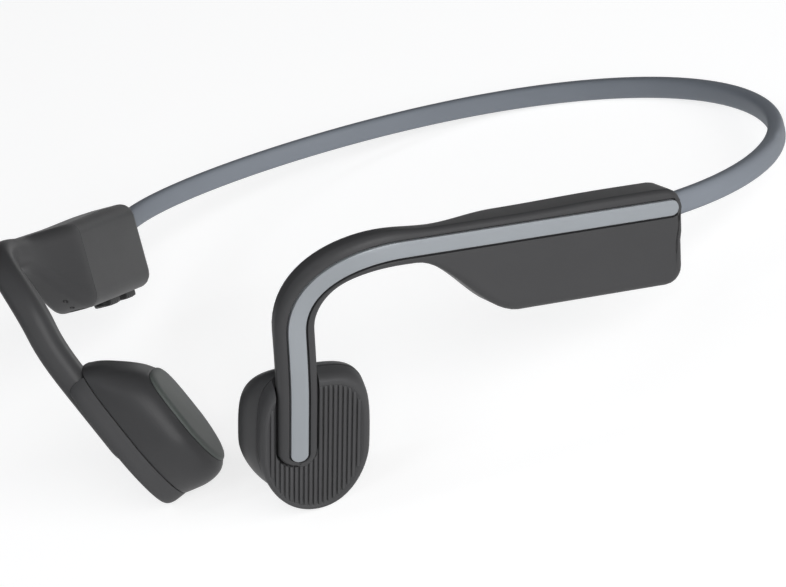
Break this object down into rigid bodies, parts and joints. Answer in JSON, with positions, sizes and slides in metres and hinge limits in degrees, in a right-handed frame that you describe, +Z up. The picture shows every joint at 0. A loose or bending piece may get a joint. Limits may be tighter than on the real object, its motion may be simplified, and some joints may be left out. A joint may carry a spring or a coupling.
{
  "type": "bone conduction headphones",
  "caption": "Open-ear headset: flexible neckband, ear hooks with electronics pods, and ribbed vibration transducers with soft contact pads.",
  "frame": {"origin": "on the table, under the centre of the headset's box", "axes": "+Z up, -Y the way the wearer faces, +X the wearer's left; the headset stands on both transducers and the back of the neckband"},
  "size_m": [0.1376, 0.1332, 0.0469],
  "materials": {
    "band_rubber": "soft matte silicone rubber",
    "spring_wire": "drawn wire and etched sheet",
    "cable_jacket": "satin",
    "hook_plastic": "fine satin moulding",
    "accent_plastic": "smooth satin",
    "ribbed_rubber": "matte, ribbed",
    "contact_silicone": "soft matte",
    "magnetic_steel": "plated",
    "coil_copper": "enamelled copper wire",
    "circuit_board": "solder mask",
    "battery_film": "foil pouch",
    "foam": "open-cell foam",
    "plated_metal": "plated",
    "button_plastic": "satin",
    "clear_plastic": "clear light guide",
    "flap_rubber": "soft matte"
  },
  "bodies": {
    "right_side": {"band_right": "band_rubber", "core_wire_right": "spring_wire", "band_cable_right": "cable_jacket", "arm_frame_right": "hook_plastic", "pod_inner_cover_right": "hook_plastic", "accent_strip_right": "accent_plastic", "arm_cable_right": "cable_jacket", "main_board": "circuit_board", "wireless_module": "plated_metal", "usb_receptacle": "plated_metal", "volume_switch_front": "plated_metal", "volume_switch_rear": "plated_metal", "microphone": "plated_metal", "light_pipe": "clear_plastic", "transducer_housing_right": "hook_plastic", "ribbed_cover_right": "ribbed_rubber", "contact_pad_right": "contact_silicone", "yoke_right": "magnetic_steel", "magnet_right": "magnetic_steel", "voice_coil_right": "coil_copper", "flexure_right": "spring_wire"},
    "left_side": {"band_left": "band_rubber", "core_wire_left": "spring_wire", "band_cable_left": "cable_jacket", "arm_frame_left": "hook_plastic", "pod_inner_cover_left": "hook_plastic", "accent_strip_left": "accent_plastic", "arm_cable_left": "cable_jacket", "battery_cell": "battery_film", "battery_board": "circuit_board", "battery_foam": "foam", "transducer_housing_left": "hook_plastic", "contact_pad_left": "contact_silicone", "yoke_left": "magnetic_steel", "magnet_left": "magnetic_steel", "voice_coil_left": "coil_copper", "flexure_left": "spring_wire", "button_board": "circuit_board", "button_switch": "plated_metal"},
    "volume_up": {"volume_up_button": "button_plastic"},
    "volume_down": {"volume_down_button": "button_plastic"},
    "port_flap": {"port_cover": "flap_rubber"},
    "multifunction": {"ribbed_cover_left": "ribbed_rubber"}
  },
  "joints": [
    {"name": "band_flex", "type": "hinge", "parent": "right_side", "child": "left_side", "pos_m": [0, 0.06644, 0.00168], "axis": [0, 0.221, 0.9753], "range_deg": [-4, 45], "stiffness_Nm_per_rad": 0.34},
    {"name": "volume_up_press", "type": "slide", "parent": "right_side", "child": "volume_up", "axis": [-0.1414, 0.3833, 0.9127], "range_m": [0, 0.0004], "stiffness_N_per_m": 1500},
    {"name": "volume_down_press", "type": "slide", "parent": "right_side", "child": "volume_down", "axis": [-0.1414, 0.3833, 0.9127], "range_m": [0, 0.0004], "stiffness_N_per_m": 1500},
    {"name": "port_flap_open", "type": "hinge", "parent": "right_side", "child": "port_flap", "pos_m": [-0.04922, -0.03468, 0.022], "axis": [-0.893, -0.4474, 0.0495], "range_deg": [0, 100]},
    {"name": "multifunction_press", "type": "slide", "parent": "left_side", "child": "multifunction", "axis": [-0.6773, 0.6938, 0.2447], "range_m": [0, 0.0002], "stiffness_N_per_m": 2500}
  ]
}
